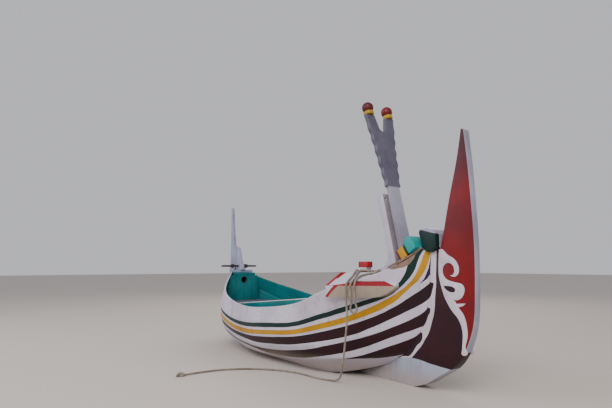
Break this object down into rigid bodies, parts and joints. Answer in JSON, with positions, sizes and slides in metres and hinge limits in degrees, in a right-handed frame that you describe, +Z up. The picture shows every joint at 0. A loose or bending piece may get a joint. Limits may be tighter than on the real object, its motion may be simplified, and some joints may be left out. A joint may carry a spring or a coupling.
{
  "type": "outrigger canoe",
  "caption": "Double-ended plank-built beach boat with a tall bow fin, forked spar rest, raised stern fin, decked ends and an open hold; shown without its outrigger booms and floats.",
  "frame": {"origin": "on the floor under the middle of the boat's length, on the centre plane", "axes": "+X towards the bow, +Y to port, +Z up"},
  "size_m": [5, 2.6705, 3.0629],
  "materials": {
    "white_paint": "white gloss paint, weathered",
    "green_paint": "dark green paint, weathered",
    "yellow_paint": "mustard yellow paint, weathered",
    "maroon_paint": "maroon-black paint, weathered",
    "red_paint": "deep red paint, weathered",
    "blue_grey_paint": "pale blue-grey paint, weathered",
    "teal_paint": "teal paint, weathered",
    "turquoise_paint": "turquoise paint",
    "beige_paint": "beige paint, weathered",
    "deck_paint": "grey-blue deck paint, worn",
    "bare_wood": "bare brown wood",
    "dark_wood": "dark tarred wood and line",
    "rope": "laid fibre rope"
  },
  "bodies": {
    "root": {"aft_deck": "deck_paint", "bar_lashing_port": "dark_wood", "bar_lashing_starboard": "dark_wood", "beam_1": "teal_paint", "beam_2": "teal_paint", "beam_3": "teal_paint", "beam_4": "teal_paint", "bottom_plank": "blue_grey_paint", "bow_beam_turquoise": "turquoise_paint", "bow_beam_yellow": "yellow_paint", "bow_cap": "green_paint", "bow_stem_fin": "red_paint", "breasthook": "blue_grey_paint", "cleat_port": "red_paint", "cleat_starboard": "red_paint", "coaming_port": "teal_paint", "coaming_starboard": "teal_paint", "deck_beam_aft": "teal_paint", "deck_beam_fore": "white_paint", "floor_board_port": "deck_paint", "floor_board_starboard": "deck_paint", "foredeck": "white_paint", "fork_ball_port": "red_paint", "fork_ball_starboard": "red_paint", "fork_collar_port": "yellow_paint", "fork_collar_starboard": "yellow_paint", "forked_board": "white_paint", "frame_1": "teal_paint", "frame_2": "teal_paint", "frame_3": "teal_paint", "frame_4": "teal_paint", "mooring_rope": "rope", "rail_port": "bare_wood", "rail_starboard": "bare_wood", "short_post": "white_paint", "side_block_port": "beige_paint", "side_block_starboard": "beige_paint", "stern_bar": "dark_wood", "stern_bulkhead": "teal_paint", "stern_post": "blue_grey_paint", "strake_garboard_port": "white_paint", "strake_garboard_starboard": "white_paint", "strake_lower_port": "maroon_paint", "strake_lower_starboard": "maroon_paint", "strake_middle_port": "maroon_paint", "strake_middle_starboard": "maroon_paint", "strake_upper_port": "yellow_paint", "strake_upper_starboard": "yellow_paint", "strake_wash_port": "white_paint", "strake_wash_starboard": "white_paint"}
  },
  "joints": []
}
